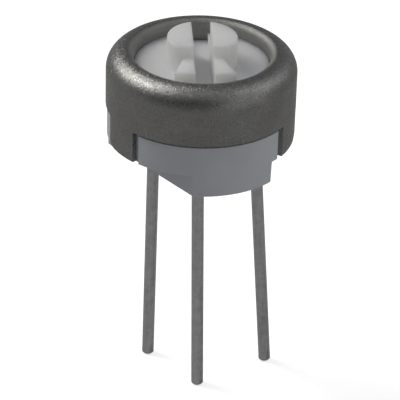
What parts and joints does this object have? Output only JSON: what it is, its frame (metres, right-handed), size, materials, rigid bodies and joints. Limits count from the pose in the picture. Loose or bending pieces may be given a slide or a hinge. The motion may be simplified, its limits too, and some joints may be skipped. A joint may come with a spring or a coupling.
{
  "type": "trimmer potentiometer",
  "caption": "Round single-turn trimmer in a sheet-metal can, with a slotted white rotor, a white base and straight wire leads.",
  "frame": {"origin": "centre of the base boss's flat underside, where it sits on the board", "axes": "+Z along the rotor's axis, out of the slotted face; -Y towards the middle lead; +X towards the right lead seen from the front"},
  "size_m": [0.0078, 0.0078, 0.0153],
  "materials": {
    "can_metal": "satin bead-blasted sheet",
    "base_plastic": "satin moulded",
    "rotor_plastic": "satin moulded, slightly translucent",
    "ceramic": "fired alumina",
    "resistive_film": "fired cermet",
    "conductor_film": "fired silver film",
    "lead_wire": "satin tinned wire",
    "solder": "smooth solder",
    "seal_rubber": "matte rubber",
    "spring_alloy": "bright spring alloy"
  },
  "bodies": {
    "housing": {"can_cover": "can_metal", "base": "base_plastic", "ceramic_disc": "ceramic", "resistance_track": "resistive_film", "collector_pad": "conductor_film", "end_pad_left": "conductor_film", "end_pad_right": "conductor_film", "lead_left": "lead_wire", "lead_middle": "lead_wire", "lead_right": "lead_wire", "solder_left": "solder", "solder_middle": "solder", "solder_right": "solder", "seal_ring": "seal_rubber"},
    "rotor": {"rotor": "rotor_plastic", "contact_spring": "spring_alloy"}
  },
  "joints": [
    {"name": "rotor_turn", "type": "hinge", "parent": "housing", "child": "rotor", "pos_m": [0, 0, 0.0037], "axis": [0, 0, 1], "range_deg": [-139, 131]}
  ]
}
